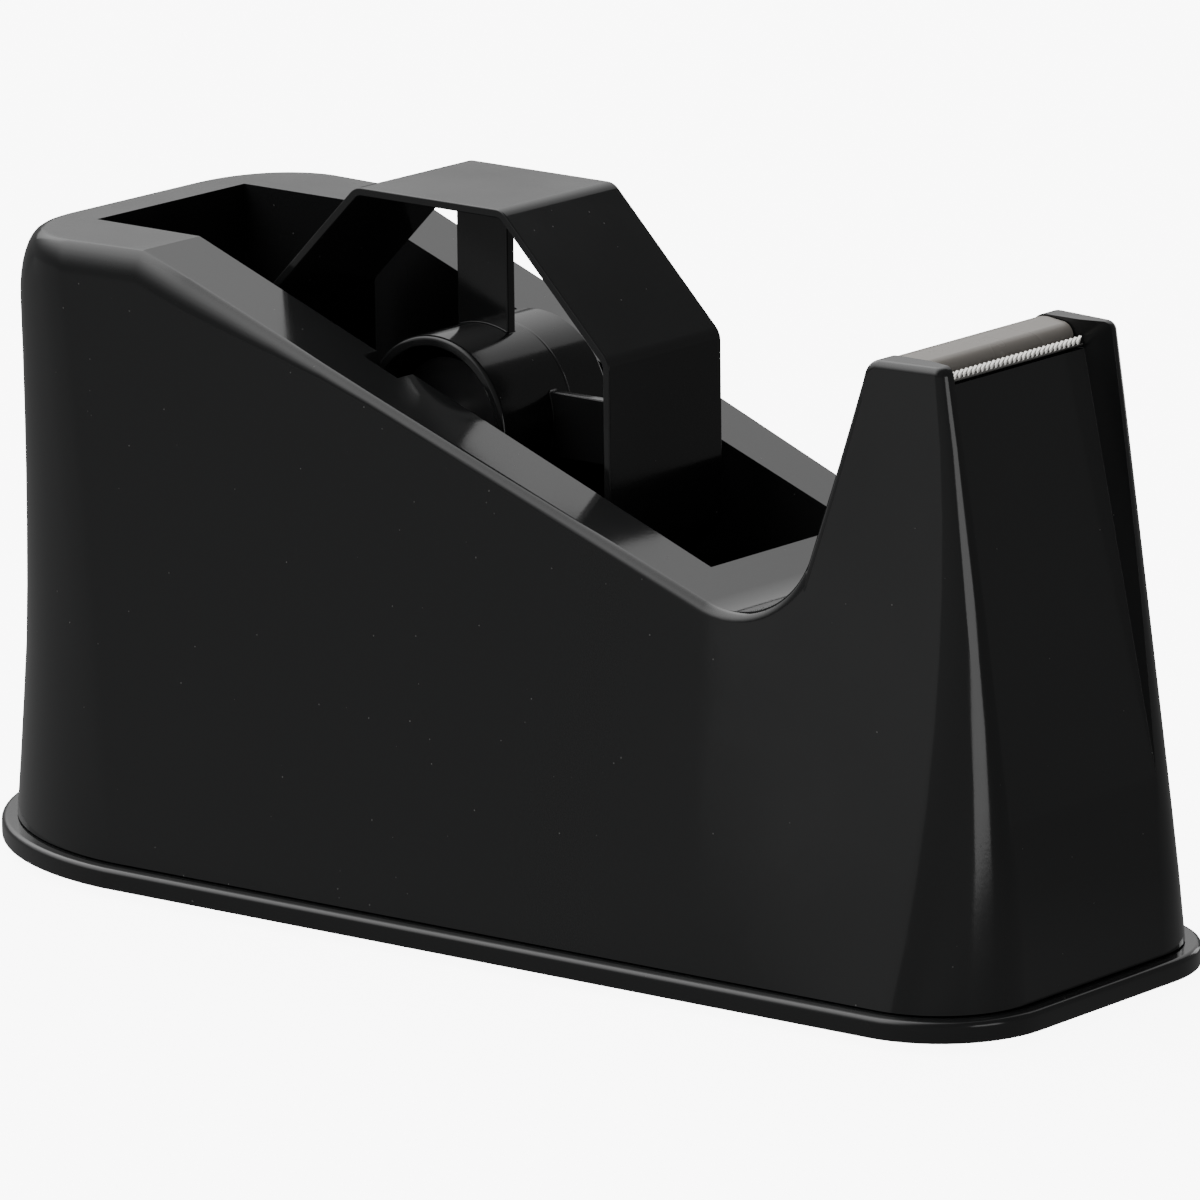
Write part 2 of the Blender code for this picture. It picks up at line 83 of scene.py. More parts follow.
CHEEK_INNER_Y = 0.0176  # 0.6 mm further out than in the CAD model, from a later look at the photo
CHEEK_FRONT_START_X = 0.0838  # where the cheeks' side columns give way to the rounded front
PANEL_TOP_X = 0.0849
PANEL_TOP_Z = 0.0948
PANEL_FOOT_X = 0.0985
PANEL_FOOT_Z = 0.0310
RECESS_DRAFT = 0.25
SHELF_Z = 0.0946
WELL_REAR_X = -0.0792
WELL_FRONT_X = 0.0423
WELL_HALF = 0.0170
WELL_FLOOR_Z = 0.0145
WELL_WALL = 0.0024
SHELF_BACK_X = 0.060
SLOT_HALF = 0.0029
SLOT_DEPTH = 0.0030
SLOT_BOSS_HALF = 0.0075
SLOT_BOSS_DEPTH = 0.0030
REEL_CORNER = 0.0030
BAND = 0.0013
SPOKE_WIDTH = 0.0100
SPOKE_THICK = 0.0018
TUBE_RADIUS = 0.01385
TUBE_BORE = 0.0102
TUBE_HALF = 0.0125
BLADE_THICK = 0.0006
BLADE_TANG_X = 0.0770
TEETH = 32
TOOTH_HEIGHT = 0.0009
TOOTH_TIP_Z = 0.0965
CAP_BOSS_RADIUS = 0.0022
CAP_BOSS_Y = 0.0105
CAP_BOSS_X = 0.0795
SCREW_RADIUS = 0.0017
SCREW_HEAD_RADIUS = 0.0034
BOSS_RADIUS = 0.0040
BOSS_TOP = 0.0300
SCREW_HOLE_TOP = 0.0225
SCREW_HEAD_TOP = 0.0045
SCREW_X = (-0.070, 0.000, 0.066)

# ---- details that only the fine meshes have -------------------------------------------------------
REAR_ROUND = (0.0068, 0.0170)  # how far in, and how far down, at the middle of the rear
PLATEAU_ROUND = (0.0026, 0.0060)
RIM_ROUND = 0.0015
CHEEK_ROUND = 0.0013
NECK_TOP_ROUND = 0.0026
EDGE_ROUND = 0.0004
FLANGE_ROUND = 0.0009
SIDE_BEND_X = 0.049  # where the sides start to lean in faster, softened over this half length
SIDE_BEND_HALF = 0.006
SEAM_Y = 0.0035  # a faint mould line round the hub tube
BLADE_BEND = 0.0004
GROOVE_HIGH = 0.0011  # the ground grooves between the teeth: height, depth and slant
GROOVE_DEEP = 0.0004
GROOVE_SLANT = 0.6

# ---- steps of the meshes, and limits for cutters that lie outside the body ------------------------
REAR_FLAT, REAR_ARC, FRONT_ARC, FRONT_FLAT = 3, 24, 14, 6
SLOPE_STEPS, FILLET_STEPS, NECK_STEPS, NECK_TOP_STEPS = 12, 24, 8, 10
FLAT_ROWS, ROUND_ROWS = 9, 10
TUBE_SIDES = 96
ABOVE = 0.120
FAR_ABOVE = 0.130
BEYOND_NECK = 0.110
BEYOND_ENDS = 0.120
BEYOND_FRONT = 0.130
BEYOND_SIDES = 0.060

FEET = ("foot_rear_near", "foot_rear_far", "foot_front_near", "foot_front_far")
REEL_LOW, REEL_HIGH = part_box("reel")
AXLE_LOW, AXLE_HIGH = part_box("axle_pin")
AXLE = (AXLE_LOW + AXLE_HIGH) / 2
AXLE_RADIUS = (AXLE_HIGH.z - AXLE_LOW.z) / 2


# ---- mesh helpers ---------------------------------------------------------------------------------
def link(name, mesh):
    item = bpy.data.objects.new(name, mesh)
    bpy.context.scene.collection.objects.link(item)
    return item


def from_bmesh(name, shape):
    bmesh.ops.recalc_face_normals(shape, faces=shape.faces)
    mesh = bpy.data.meshes.new(name)
    shape.to_mesh(mesh)
    shape.free()
    return link(name, mesh)


def box(low, high):
    shape = bmesh.new()
    bmesh.ops.create_cube(shape, size=1.0)
    size = [b - a for a, b in zip(low, high)]
    bmesh.ops.scale(shape, vec=size, verts=shape.verts)
    bmesh.ops.translate(shape, vec=[(a + b) / 2 for a, b in zip(low, high)], verts=shape.verts)
    return from_bmesh("cutter", shape)


def cylinder(radius, start, end, segments=32):
    start, end = Vector(start), Vector(end)
    shape = bmesh.new()
    bmesh.ops.create_cone(shape, cap_ends=True, segments=segments, radius1=radius, radius2=radius,
                          depth=(end - start).length)
    turn = (end - start).to_track_quat("Z", "Y").to_matrix().to_4x4()
    bmesh.ops.transform(shape, matrix=Matrix.Translation((start + end) / 2) @ turn, verts=shape.verts)
    return from_bmesh("cutter", shape)


def prism(name, outline, y_low, y_high):
    """A plate whose outline is a list of (x, z), between two values of Y."""
    shape = bmesh.new()
    rings = [[shape.verts.new((x, y, z)) for x, z in outline] for y in (y_low, y_high)]
    shape.faces.new(rings[0])
    shape.faces.new(rings[1])
    for i in range(len(outline)):
        shape.faces.new((rings[0][i - 1], rings[0][i], rings[1][i], rings[1][i - 1]))
    return from_bmesh(name, shape)


def loft(name, sections):
    """A closed skin through rings of points that all have the same count."""
    shape = bmesh.new()
    rings = [[shape.verts.new(point) for point in section] for section in sections]
    for lower, upper in zip(rings, rings[1:]):
        for i in range(len(lower)):
            shape.faces.new((lower[i - 1], lower[i], upper[i], upper[i - 1]))
    shape.faces.new(rings[0])
    shape.faces.new(rings[-1])
    return from_bmesh(name, shape)


def turned(name, profile, start, axis, segments=64):
    """A solid of revolution through (radius, distance along the axis) pairs that form a closed loop."""
    shape = bmesh.new()
    rings = []
    for k in range(segments):
        angle = 2 * math.pi * k / segments
        rings.append([shape.verts.new((r * math.cos(angle), r * math.sin(angle), h)) for r, h in profile])
    for k in range(segments):
        for i in range(len(profile)):
            shape.faces.new((rings[k - 1][i - 1], rings[k - 1][i], rings[k][i], rings[k][i - 1]))
    turn = Vector(axis).to_track_quat("Z", "Y").to_matrix().to_4x4()
    bmesh.ops.transform(shape, matrix=Matrix.Translation(start) @ turn, verts=shape.verts)
    return from_bmesh(name, shape)


def cut(item, cutter, operation="DIFFERENCE"):
    """Applies one Boolean with a cutter that is then removed."""
    modifier = item.modifiers.new("cut", "BOOLEAN")
    modifier.object = cutter
    modifier.operation = operation
    modifier.solver = "EXACT"
    apply_modifiers(item)
    bpy.data.objects.remove(cutter, do_unlink=True)


def apply_modifiers(item):
    shown = item.evaluated_get(bpy.context.evaluated_depsgraph_get())
    mesh = bpy.data.meshes.new_from_object(shown)
    item.modifiers.clear()
    item.data = mesh


def tidy_mesh(item, distance=0.00002):
    """Welds near points and joins coplanar faces, so that the edge rounding meets clean corners."""
    shape = bmesh.new()
    shape.from_mesh(item.data)
    bmesh.ops.remove_doubles(shape, verts=shape.verts, dist=distance)
    bmesh.ops.dissolve_limit(shape, angle_limit=math.radians(0.3), verts=shape.verts, edges=shape.edges)
    shape.to_mesh(item.data)
    shape.free()


def finish_edges(item, width, segments=3, angle=18.0):
    """Rounds the sharp edges, then shades the piece smooth with flat faces kept flat."""
    bevel = item.modifiers.new("edge_round", "BEVEL")
    bevel.width = width
    bevel.segments = segments
    bevel.limit_method = "ANGLE"
    bevel.angle_limit = math.radians(angle)
    bevel.miter_outer = "MITER_ARC"
    bevel.use_clamp_overlap = True
    apply_modifiers(item)
    item.data.shade_smooth()
    item.data.set_sharp_from_angle(angle=math.radians(50.0))
    weighted = item.modifiers.new("face_normals", "WEIGHTED_NORMAL")
    weighted.keep_sharp = True
    weighted.weight = 80


def arc(centre, radius, start, end, steps):
    """Points on an arc, angles in radians, both ends included."""
    points = []
    for i in range(steps + 1):
        angle = start + (end - start) * i / steps
        points.append((centre[0] + radius * math.cos(angle), centre[1] + radius * math.sin(angle)))
    return points


def mix(a, b, share):
    return a + (b - a) * share


def smooth_step(low, high, value):
    share = min(1.0, max(0.0, (value - low) / (high - low)))
    return share * share * (3.0 - 2.0 * share)


# ---- the body's form ------------------------------------------------------------------------------
def side_lean(x, z):
    rise = z - BODY_BOTTOM
    past = x - SIDE_BEND_X
    share = min(1.0, LEAN_SHARE + x + 2.0 * (past + math.hypot(past, SIDE_BEND_HALF)))
    return share * (SIDE_LEAN * rise - SIDE_HOLLOW * rise * rise)


def half_width(x, z):
    return BODY_HALF_WIDTH - BODY_TAPER * x - side_lean(x, z)


def height_share(z):
    """1 at the bottom of the body, 0 at the top of the cheeks."""
    return min(1.0, max(0.0, (CHEEK_TOP_Z - z) / (CHEEK_TOP_Z - BODY_BOTTOM)))


def front_x(z):
    return mix(CHEEK_TOP_FRONT_X, BODY_FRONT_X, 1.0 - (1.0 - height_share(z)) ** 1.3)


def rear_x(z):
    return BODY_REAR_X + REAR_LEAN * (z - BODY_BOTTOM)


def slope_z(x):
    return PLATEAU_Z - math.tan(SLOPE) * (x - CREASE_X)


def neck_curve():
    """Where the slope meets the neck's back, the neck's direction, and the fillet between them."""
    corner = Vector((NECK_FOOT_X, slope_z(NECK_FOOT_X)))
    down_slope = Vector((math.cos(SLOPE), -math.sin(SLOPE)))
    up_neck = Vector((math.sin(NECK_LEAN), math.cos(NECK_LEAN)))
    turn = math.pi / 2 + SLOPE - NECK_LEAN
    first = corner - down_slope * NECK_FILLET * math.tan(turn / 2)
    centre = first + Vector((math.sin(SLOPE), math.cos(SLOPE))) * NECK_FILLET
    start = -math.pi / 2 - SLOPE
    return corner, up_neck, arc(centre, NECK_FILLET, start, start + turn, FILLET_STEPS)


def neck_back_x(z):
    corner, up_neck, _ = neck_curve()
    return corner.x + (z - corner.y) * up_neck.x / up_neck.y


def top_profile():
    """(x, z, slope angle) along the top of the body's side, from the crease to the cheeks' front."""
    _, _, fillet = neck_curve()
    points = []
    steep = math.pi / 2 - NECK_LEAN
    for i in range(SLOPE_STEPS):
        x = mix(CREASE_X, fillet[0][0], i / SLOPE_STEPS)
        points.append((x, slope_z(x), SLOPE))
    for i, (x, z) in enumerate(fillet):
        points.append((x, z, abs(mix(-SLOPE, steep, i / FILLET_STEPS))))
    reach = NECK_TOP_ROUND * math.tan(steep / 2)
    low = CHEEK_TOP_Z - reach * math.sin(steep)
    for i in range(1, NECK_STEPS):
        z = mix(fillet[-1][1], low, i / NECK_STEPS)
        points.append((neck_back_x(z), z, steep))
    centre = (neck_back_x(CHEEK_TOP_Z) + reach, CHEEK_TOP_Z - NECK_TOP_ROUND)
    for i in range(NECK_TOP_STEPS + 1):
        angle = mix(steep, 0.0, i / NECK_TOP_STEPS)
        x = centre[0] - NECK_TOP_ROUND * math.sin(angle)
        points.append((x, centre[1] + NECK_TOP_ROUND * math.cos(angle), angle))
    for i in range(1, 4):
        points.append((mix(centre[0], CHEEK_FRONT_START_X, i / 3), CHEEK_TOP_Z, 0.0))
    return points


TOP = top_profile()


def body_half(z, inset):
    """Half of the body's plan outline at height z, from the rear's middle to the front's middle."""
    rear, front = rear_x(z), front_x(z) - inset
    share = height_share(z)
    radius = mix(REAR_CORNER_HIGH, REAR_CORNER_LOW, share)
    start_x = rear + radius
    start_w = half_width(start_x, z)
    reach_y = min(radius, start_w - 0.001)
    flat = start_w - reach_y
    half = [(rear + inset, flat * i / REAR_FLAT) for i in range(REAR_FLAT)]
    for i in range(REAR_ARC + 1):
        angle = math.pi - math.pi / 2 * i / REAR_ARC
        x = start_x + (radius - inset) * math.cos(angle)
        half.append((x, flat + (reach_y - inset) * math.sin(angle)))
    half += [(x, half_width(x, z) - inset) for x, _, _ in TOP]
    corner = max(0.0002, mix(FRONT_CORNER_HIGH, FRONT_CORNER_LOW, share**1.5) - inset)
    end_x = front - corner
    lean = math.atan((half_width(end_x - 0.001, z) - half_width(end_x, z)) / 0.001)
    end_w = half_width(end_x, z) - inset - corner / math.cos(lean)
    half += arc((end_x, end_w), corner, math.pi / 2 - lean, 0.0, FRONT_ARC)
    half += [(front, end_w * (1 - i / FRONT_FLAT)) for i in range(1, FRONT_FLAT + 1)]
    return half


def column_tops():
    """For each column of the half outline: its top, and how far in and down its rounded edge reaches."""
    tops = [(PLATEAU_Z, *REAR_ROUND)] * REAR_FLAT
    for i in range(REAR_ARC + 1):
        share = smooth_step(0.0, 1.0, i / REAR_ARC)
        tops.append((PLATEAU_Z, mix(REAR_ROUND[0], PLATEAU_ROUND[0], share),
                     mix(REAR_ROUND[1], PLATEAU_ROUND[1], share)))
    for x, z, angle in TOP:
        share = smooth_step(CREASE_X, CREASE_X + 0.045, x)
        inset = mix(PLATEAU_ROUND[0], RIM_ROUND, share)
        inset = mix(inset, CHEEK_ROUND, smooth_step(CHEEK_TOP_Z - 0.020, CHEEK_TOP_Z, z) * (x > 0))
        drop = inset / math.cos(angle)
        if x < 0:
            drop = mix(PLATEAU_ROUND[1], RIM_ROUND / math.cos(SLOPE), share)
        tops.append((z, inset, drop))
    tops += [(CHEEK_TOP_Z, CHEEK_ROUND, CHEEK_ROUND)] * (FRONT_ARC + 1 + FRONT_FLAT)
    return tops


def body_skin(name, inset=0.0, sink=0.0, bottom=BODY_BOTTOM):
    """The body's outer form as one closed mesh. A cavity is the same form, moved in by inset and sunk."""
    tops = column_tops()
    shape = bmesh.new()
    levels = []
    for k in range(FLAT_ROWS + ROUND_ROWS):
        ring = []
        for i, (top, reach, drop) in enumerate(tops):
            foot = top - drop
            if k < FLAT_ROWS:
                z, extra = mix(BODY_BOTTOM, foot, k / FLAT_ROWS), 0.0
            else:
                angle = math.pi / 2 * (k - FLAT_ROWS) / (ROUND_ROWS - 1)
                z, extra = foot + drop * math.sin(angle), reach * (1.0 - math.cos(angle))
            x, y = body_half(z, inset + extra)[i]
            ring.append((x, y, bottom if k == 0 else z - sink))
        far = [shape.verts.new(point) for point in ring]
        near = [shape.verts.new((x, -y, z)) for x, y, z in ring[1:-1]]
        levels.append(([far[0]] + near + [far[-1]], far))
    for (near_a, far_a), (near_b, far_b) in zip(levels, levels[1:]):
        for i in range(1, len(tops)):
            shape.faces.new((near_a[i - 1], near_a[i], near_b[i], near_b[i - 1]))
            shape.faces.new((far_a[i], far_a[i - 1], far_b[i - 1], far_b[i]))
    near, far = levels[0]
    shape.faces.new(near + far[-2:0:-1])
    cap_body(shape, *levels[-1])
    return from_bmesh(name, shape)


def cap_body(shape, near, far):
    """Closes the top with one flat face for each plane and a strip for each step of the roundings."""
    side = REAR_FLAT + REAR_ARC + 1
    slope_end = side + SLOPE_STEPS
    neck_start = slope_end + FILLET_STEPS
    neck_end = neck_start + NECK_STEPS
    front = neck_end + NECK_TOP_STEPS
    spans = [(0, side), (side, slope_end)]
    spans += [(i, i + 1) for i in range(slope_end, neck_start)]
    spans.append((neck_start, neck_end))
    spans += [(i, i + 1) for i in range(neck_end, front)]
    spans.append((front, len(near) - 1))
    for a, b in spans:
        loop = near[a:b + 1] + far[b:a - 1 if a else None:-1]
        shape.faces.new(list(dict.fromkeys(loop)))


def panel_x(z):
    return mix(PANEL_FOOT_X, PANEL_TOP_X, (z - PANEL_FOOT_Z) / (PANEL_TOP_Z - PANEL_FOOT_Z))


def wedge(half, z_low, z_high, back, draft=0.0):
    """A cutter in front of the panel's face, which is moved by back. Its sides open towards the front."""
    sections = []
    for z in (z_low, z_high):
        x = panel_x(z) + back
        wide = half + draft * (BEYOND_FRONT - x)
        sections.append([(x, -half, z), (BEYOND_FRONT, -wide, z), (BEYOND_FRONT, wide, z), (x, half, z)])
    return loft("cutter", sections)


def screw_place(x, side):
    return x, side * (half_width(x, BOSS_TOP) - BOSS_RADIUS - 0.0008)


def slot_cutter(side):
    """A slot square to the slope, with a round seat, from the rim down to the axle."""
    low = -AXLE_RADIUS - GAP
    outline = arc((0.0, low + SLOT_HALF), SLOT_HALF, math.pi, 2 * math.pi, 12)
    outline += [(SLOT_HALF, 0.030), (-SLOT_HALF, 0.030)]
    middle = side * (WELL_HALF + SLOT_DEPTH / 2)
    reach = SLOT_DEPTH / 2 + 0.0005
    item = prism("cutter", outline, middle - reach, middle + reach)
    item.data.transform(Matrix.Translation((AXLE.x, 0.0, AXLE.z)) @ Matrix.Rotation(-SLOPE, 4, "Y"))
    return item


def make_housing():
    """The moulded shell: rounded rim, sloped well, axle slots, and two cheeks on a recessed neck."""
    shell = body_skin("housing_shell")
    cut(shell, box((WELL_REAR_X, -WELL_HALF, WELL_FLOOR_Z), (WELL_FRONT_X, WELL_HALF, ABOVE)))
    cut(shell, wedge(CHEEK_INNER_Y, PANEL_FOOT_Z, BEYOND_NECK, 0.0, RECESS_DRAFT))
    cut(shell, box((SHELF_BACK_X, -CHEEK_INNER_Y, SHELF_Z), (BEYOND_NECK, CHEEK_INNER_Y, ABOVE)))
    for side in (-1, 1):
        cut(shell, slot_cutter(side))
    return shell


def make_cavity():
    """The hollow of the shell, less the walls and bosses that stand in it."""
    cavity = body_skin("cutter", WALL, WALL, BODY_BOTTOM - 0.002)
    roof = [(-BEYOND_ENDS, PLATEAU_Z - WALL), (CREASE_X, PLATEAU_Z - WALL)]
    roof += [(x + WALL, z - WALL) for x, z in neck_curve()[2]]
    roof += [(neck_back_x(SHELF_Z) + WALL, SHELF_Z - WALL), (BEYOND_ENDS, SHELF_Z - WALL)]
    roof += [(BEYOND_ENDS, FAR_ABOVE), (-BEYOND_ENDS, FAR_ABOVE)]
    cut(cavity, prism("cutter", roof, -BEYOND_SIDES, BEYOND_SIDES))
    cut(cavity, wedge(0.050, PANEL_FOOT_Z - 0.010, ABOVE, -WALL))
    outside = WELL_HALF + WELL_WALL
    cut(cavity, box((WELL_REAR_X - WELL_WALL, -outside, WELL_FLOOR_Z - WELL_WALL),
                    (WELL_FRONT_X + WELL_WALL, outside, ABOVE)))
    for side in (-1, 1):
        ends = sorted((side * WELL_HALF, side * (WELL_HALF + WELL_WALL + SLOT_BOSS_DEPTH)))
        cut(cavity, box((AXLE.x - SLOT_BOSS_HALF - 0.003, ends[0], 0.060),
                        (AXLE.x + SLOT_BOSS_HALF, ends[1], ABOVE)))
        for x in SCREW_X:
            place = screw_place(x, side)
            cut(cavity, cylinder(BOSS_RADIUS, (*place, PLINTH_TOP + GAP), (*place, BOSS_TOP)))
    return cavity


def drill_housing(shell):
    """The holes for the base screws' threads and for the cap's two bosses."""
    for side in (-1, 1):
        for x in SCREW_X:
            place = screw_place(x, side)
            cut(shell, cylinder(SCREW_RADIUS + GAP, (*place, 0.0), (*place, SCREW_HOLE_TOP)))
        place = (CAP_BOSS_X, side * CAP_BOSS_Y)
        cut(shell, cylinder(CAP_BOSS_RADIUS + GAP, (*place, 0.080), (*place, 0.100)))


def make_base():
    """The closing base: a flange with a rounded rim, and a plinth that fits inside the shell."""
    half_high = (FLANGE_TOP - PLATE_BOTTOM) / 2
    middle = (FLANGE_TOP + PLATE_BOTTOM) / 2
    under, over = EDGE_ROUND, FLANGE_ROUND
    steps = [(under - x, z) for x, z in arc((0.0, PLATE_BOTTOM + under), under, -math.pi / 2, 0.0, 4)]
    steps.append((0.0, middle + half_high * 0.1))
    steps += [(over - x, z) for x, z in arc((0.0, FLANGE_TOP - over), over, 0.0, math.pi / 2, 8)]
    plinth = FLANGE_WIDTH + WALL + GAP
    steps += [(plinth - 0.0004, FLANGE_TOP), (plinth, FLANGE_TOP + 0.0003), (plinth, PLINTH_TOP - 0.0005),
              (plinth + 0.0005, PLINTH_TOP)]
    sections = []
    for inset, z in steps:
        half = body_half(BODY_BOTTOM, inset - FLANGE_WIDTH)
        ring = half + [(x, -y) for x, y in reversed(half[1:-1])]
        sections.append([(x, y, z) for x, y in ring])
    plate = loft("base_shell", sections)
    for side in (-1, 1):
        for x in SCREW_X:
            place = screw_place(x, side)
            cut(plate, cylinder(SCREW_RADIUS + GAP, (*place, 0.0), (*place, 0.012)))
            cut(plate, cylinder(SCREW_HEAD_RADIUS + GAP, (*place, 0.0), (*place, SCREW_HEAD_TOP)))
    for node in FEET:
        low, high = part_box(node)
        centre = (low + high) / 2
        radius = (high.x - low.x) / 2 + GAP
        top = (centre.x, centre.y, high.z + GAP)
        cut(plate, cylinder(radius, (centre.x, centre.y, 0.0), top, 48))
    return plate


def make_foot(node):
    """A rubber disc with a rounded edge and three ribs that grip the surface."""
    low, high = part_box(node)
    centre, radius = (low + high) / 2, (high.x - low.x) / 2
    top, edge, rib = high.z, 0.0005, 0.00035
    profile = [(0.0001, top), (radius - edge, top)]
    profile += arc((radius - edge, top - edge), edge, math.pi / 2, 0.0, 4)[1:]
    profile += arc((radius - edge, edge), edge, 0.0, -math.pi / 2, 4)
    for k in (3, 2, 1):
        ring = radius * k / 4
        profile += [(ring + rib, 0.0), (ring + rib / 2, rib), (ring - rib / 2, rib), (ring - rib, 0.0)]
    profile.append((0.0001, 0.0))
    return turned(node + "_pad", profile, (centre.x, centre.y, 0.0), (0.0, 0.0, 1.0), 48)


def octagon(flats, corner):
    """An octagon with flats up and down and rounded corners, centred on the axle."""
    points = []
    centre_r = (flats / 2 - corner) / math.cos(math.pi / 8)
    for k in range(8):
        middle = math.pi / 8 + k * math.pi / 4
        centre = (AXLE.x + centre_r * math.cos(middle), AXLE.z + centre_r * math.sin(middle))
        points += arc(centre, corner, middle - math.pi / 8, middle + math.pi / 8, 6)
    return points


def make_reel():
    """The octagonal band, four flat spokes and the hub tube, moulded in one."""
    half = (REEL_HIGH.y - REEL_LOW.y) / 2
    flats = REEL_HIGH.z - REEL_LOW.z
    reel = prism("reel_moulding", octagon(flats, REEL_CORNER), -half, half)
    cut(reel, prism("cutter", octagon(flats - 2 * BAND, REEL_CORNER - BAND), -half - 0.001, half + 0.001))
    reach, wide, thick = flats / 2 - BAND / 2, SPOKE_WIDTH / 2, SPOKE_THICK / 2
    for across, up in ((wide, reach), (reach, wide)):
        spoke = box((AXLE.x - across, -thick, AXLE.z - up), (AXLE.x + across, thick, AXLE.z + up))
        cut(reel, spoke, "UNION")
    lip, seam, ridge = 0.0004, 0.00025, 0.00008
    outer = [(TUBE_BORE + 0.002, -TUBE_HALF), (TUBE_RADIUS - lip, -TUBE_HALF), (TUBE_RADIUS, lip - TUBE_HALF)]
    outer += [(TUBE_RADIUS, SEAM_Y - seam), (TUBE_RADIUS + ridge, SEAM_Y), (TUBE_RADIUS, SEAM_Y + seam)]
    outer += [(TUBE_RADIUS, TUBE_HALF - lip), (TUBE_RADIUS - lip, TUBE_HALF), (TUBE_BORE + 0.002, TUBE_HALF)]
    cut(reel, turned("cutter", outer, (AXLE.x, 0.0, AXLE.z), (0.0, 1.0, 0.0), TUBE_SIDES), "UNION")
    cut(reel, cylinder(TUBE_BORE, (AXLE.x, -0.02, AXLE.z), (AXLE.x, 0.02, AXLE.z), TUBE_SIDES))
    return reel


def make_cap():
    """The rounded cap that the tape runs over, on two bosses."""
    low = SHELF_Z + GAP + BLADE_THICK + GAP
    end = CHEEK_INNER_Y - GAP
    front = PANEL_TOP_X - BLADE_THICK - GAP - 0.0006
    heel_x = neck_back_x(low) + 0.0004
    outline = [(front, low)] + arc((front - 0.0022, low + 0.0004), 0.0021, 0.0, math.radians(75), 14)
    outline += arc((front - 0.0050, low - 0.0026), 0.0054, math.radians(75), math.radians(120), 10)[1:]
    outline += [(heel_x + 0.0006, low + 0.0012), (heel_x, low)]
    cap = prism("tape_cap", outline, -end, end)
    for side in (-1, 1):
        place = (CAP_BOSS_X, side * CAP_BOSS_Y)
        cut(cap, cylinder(CAP_BOSS_RADIUS, (*place, SHELF_Z - 0.0020), (*place, low + 0.0005)), "UNION")
        cut(cap, cylinder(0.0013, (*place, 0.085), (*place, low + 0.0010)))
    return cap


def make_blade():
    """A strip bent into a flat tang and an upright lip, whose teeth are ground with slanted grooves."""
    low, front = SHELF_Z + GAP, PANEL_TOP_X + 0.0001
    back, half = front - BLADE_THICK, CHEEK_INNER_Y - GAP
    foot, upper = TOOTH_TIP_Z - GROOVE_HIGH, low + BLADE_THICK
    sections = []
    for k in range(2 * TEETH + 1):
        tip = k % 2
        top = TOOTH_TIP_Z if tip else TOOTH_TIP_Z - TOOTH_HEIGHT
        face = [(front, foot)]
        for i in range(1, 5):
            z = mix(foot, top, i / 4)
            face.append((front - (0.00005 if tip else GROOVE_DEEP) * i / 4, z))
        outline = [(BLADE_TANG_X, low)]
        outline += arc((front - BLADE_BEND, low + BLADE_BEND), BLADE_BEND, -math.pi / 2, 0.0, 5)
        outline += face
        outline += [(back, top), (back, mix(top, upper, 0.5)), (back, upper + 0.0001),
                    (back - 0.0001, upper), (BLADE_TANG_X, upper)]
        ring = []
        for x, z in outline:
            slant = GROOVE_SLANT * (max(0.0, z - foot) - GROOVE_HIGH / 2)
            y = -half + 2 * half * k / (2 * TEETH) + slant
            ring.append((x, min(half, max(-half, y)), z))
        sections.append(ring)
    for end, ring in ((-half, sections[0]), (half, sections[-1])):
        ring[:] = [(x, end, z) for x, _, z in ring]
    blade = loft("cutter_blade", sections)
    for side in (-1, 1):
        place = (CAP_BOSS_X, side * CAP_BOSS_Y)
        cut(blade, cylinder(CAP_BOSS_RADIUS + GAP, (*place, 0.085), (*place, 0.105)))
    return blade


# ---- materials ------------------------------------------------------------------------------------
BLACK = (0.0150, 0.0154, 0.0156)
DUST = (0.16, 0.16, 0.155, 1.0)
DUST_ROUGHNESS = 0.7
SPECKS_PER_METRE = 420.0
SPECK_EDGE = (0.020, 0.065)
RARITY = (0.55, 0.57)  # the noise levels between which specks of dust appear
WAVE_DEPTH = 0.00002
GRAIN_DEPTH = 0.000012


def new_material(name, colour, metallic=0.0):
    material = bpy.data.materials.new(name)
    material.use_nodes = True
    nodes = material.node_tree.nodes
    shader = nodes["Principled BSDF"]
    shader.inputs["Base Color"].default_value = (*colour, 1.0)
    shader.inputs["Metallic"].default_value = metallic
    return material, nodes, material.node_tree.links, shader


def add_noise(nodes, links, scale, detail=3.0, stretch=(1.0, 1.0, 1.0)):
    """A noise in object space, scale in cycles per metre."""
    place = nodes.new("ShaderNodeTexCoord")
    mapping = nodes.new("ShaderNodeMapping")
    mapping.inputs["Scale"].default_value = stretch
    noise = nodes.new("ShaderNodeTexNoise")
    noise.inputs["Scale"].default_value = scale
    noise.inputs["Detail"].default_value = detail
    links.new(place.outputs["Object"], mapping.inputs["Vector"])
    links.new(mapping.outputs["Vector"], noise.inputs["Vector"])
    return noise.outputs["Fac"]


def add_range(nodes, links, value, low, high, from_low=0.3, from_high=0.7):
    remap = nodes.new("ShaderNodeMapRange")
    remap.inputs["From Min"].default_value = from_low
    remap.inputs["From Max"].default_value = from_high
    remap.inputs["To Min"].default_value = low
    remap.inputs["To Max"].default_value = high
    links.new(value, remap.inputs["Value"])
    return remap.outputs["Result"]


def add_fade(nodes, links, value, start, end, most):
    """A smooth step from 0 at start to most at end."""
    share = nodes.new("ShaderNodeMapRange")
    share.interpolation_type = "SMOOTHSTEP"
    share.inputs["From Min"].default_value = start
    share.inputs["From Max"].default_value = end
    share.inputs["To Max"].default_value = most
    links.new(value, share.inputs["Value"])
    return share.outputs["Result"]


def add_math(nodes, links, operation, first, second):
    math_node = nodes.new("ShaderNodeMath")
    math_node.operation = operation
    links.new(first, math_node.inputs[0])
    links.new(second, math_node.inputs[1])
    return math_node.outputs[0]


